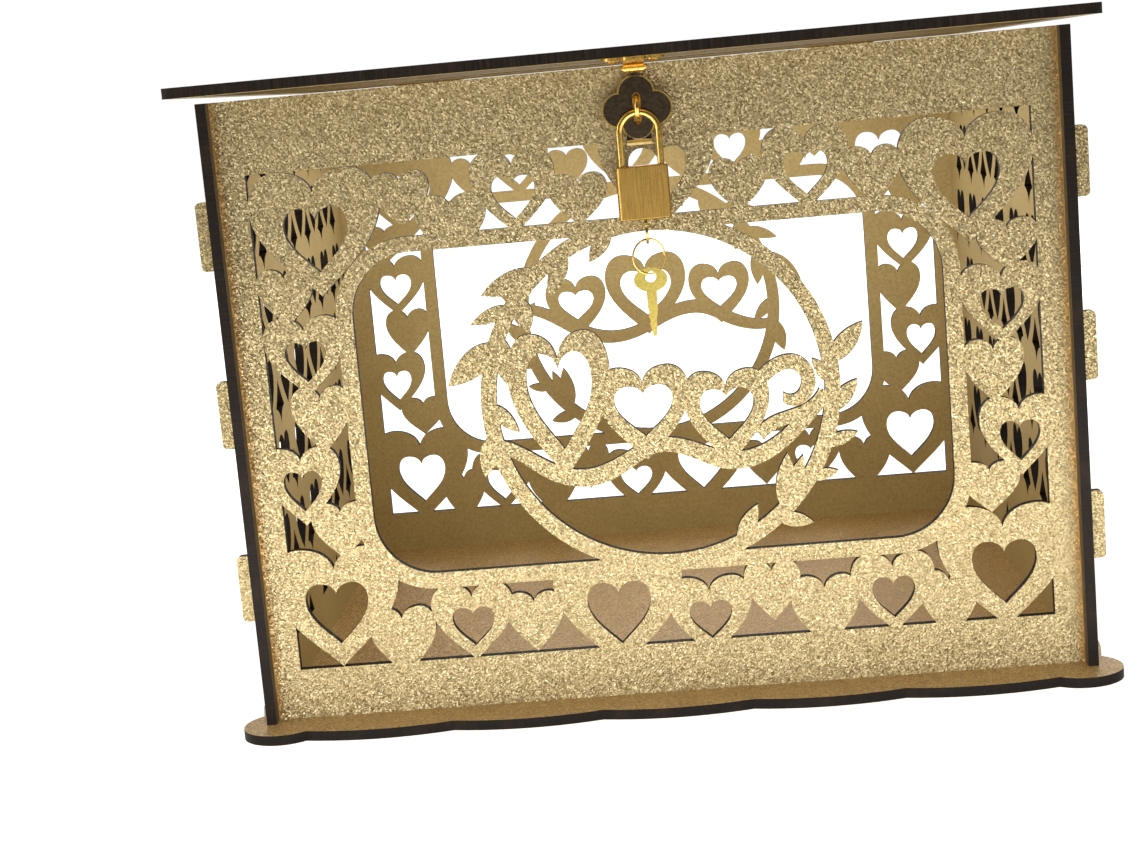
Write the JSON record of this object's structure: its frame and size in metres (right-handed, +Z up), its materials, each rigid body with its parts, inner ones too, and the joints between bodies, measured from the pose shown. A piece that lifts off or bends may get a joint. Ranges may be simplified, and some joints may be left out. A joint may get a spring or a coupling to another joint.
{
  "type": "wedding card box",
  "caption": "Laser-cut card box with heart fretwork walls, a wreath window front and back, a hinged lid with a card slot, and a hasp closed by a small padlock with keys",
  "frame": {"origin": "bottom centre of the base plate's box, on the surface the box stands on", "axes": "+Z up, the front with the hasp and padlock faces -Y, +X is to the right seen from the front"},
  "size_m": [0.26, 0.263, 0.192],
  "materials": {
    "glitter_board": "3 mm fibreboard faced with champagne gold glitter, plain brown inside, edges burnt dark by the laser",
    "hardware_brass": "thin plated brass hardware, the flap polished",
    "padlock_brass": "brushed golden padlock and keys",
    "lock_steel": "plain steel"
  },
  "bodies": {
    "root": {"base_plate": "glitter_board", "front_panel": "glitter_board", "back_panel": "glitter_board", "left_panel": "glitter_board", "right_panel": "glitter_board", "left_hinge_body_leaf": "hardware_brass", "right_hinge_body_leaf": "hardware_brass", "left_hinge_pin": "hardware_brass", "right_hinge_pin": "hardware_brass", "hinge_body_screws": "hardware_brass", "staple_plate": "hardware_brass", "staple_eye": "hardware_brass", "staple_screws": "hardware_brass"},
    "lid": {"lid_panel": "glitter_board", "left_hinge_lid_leaf": "hardware_brass", "right_hinge_lid_leaf": "hardware_brass", "hinge_lid_screws": "hardware_brass", "hasp_lid_leaf": "hardware_brass", "hasp_screws": "hardware_brass", "hasp_pin": "hardware_brass"},
    "flap": {"hasp_flap": "hardware_brass"},
    "shackle": {"padlock_shackle": "padlock_brass"},
    "padlock": {"padlock_body": "padlock_brass", "shackle_spring": "lock_steel"},
    "bolt": {"lock_bolt": "lock_steel"},
    "key_plug": {"lock_plug": "padlock_brass", "lock_key": "padlock_brass"},
    "ring": {"key_ring": "padlock_brass"},
    "hanging_key": {"spare_key": "padlock_brass"}
  },
  "joints": [
    {"name": "lid_hinge", "type": "hinge", "parent": "root", "child": "lid", "pos_m": [0, 0.1169, 0.188], "axis": [-1, 0, 0], "range_deg": [0, 135]},
    {"name": "padlock_off", "type": "slide", "parent": "root", "child": "shackle", "axis": [0, -1, 0], "range_m": [0, 0.06]},
    {"name": "flap_swing", "type": "hinge", "parent": "lid", "child": "flap", "pos_m": [0.002, -0.1186, 0.186], "axis": [-1, 0, 0], "range_deg": [0, 80]},
    {"name": "padlock_drop", "type": "slide", "parent": "shackle", "child": "padlock", "axis": [0, 0, -1], "range_m": [0, 0.005]},
    {"name": "bolt_slide", "type": "slide", "parent": "padlock", "child": "bolt", "axis": [-1, 0, 0], "range_m": [0, 0.0022]},
    {"name": "key_turn", "type": "hinge", "parent": "padlock", "child": "key_plug", "pos_m": [0.002, -0.121, 0.1437], "axis": [0, 0, 1], "range_deg": [0, 90]},
    {"name": "ring_swing", "type": "hinge", "parent": "key_plug", "child": "ring", "pos_m": [0.002, -0.121, 0.13798], "axis": [1, 0, 0], "range_deg": [-30, 30]},
    {"name": "spare_key_swing", "type": "hinge", "parent": "ring", "child": "hanging_key", "pos_m": [0.002, -0.121, 0.13303], "axis": [0.4226, -0.9063, 0], "range_deg": [-40, 40]}
  ],
  "couplings": [
    {"joint": "flap_swing", "follows": "padlock_off", "rad_per_m": 23.269},
    {"joint": "key_turn", "follows": "padlock_drop", "rad_per_m": 314.13},
    {"joint": "bolt_slide", "follows": "padlock_drop", "ratio": 0.43996}
  ]
}
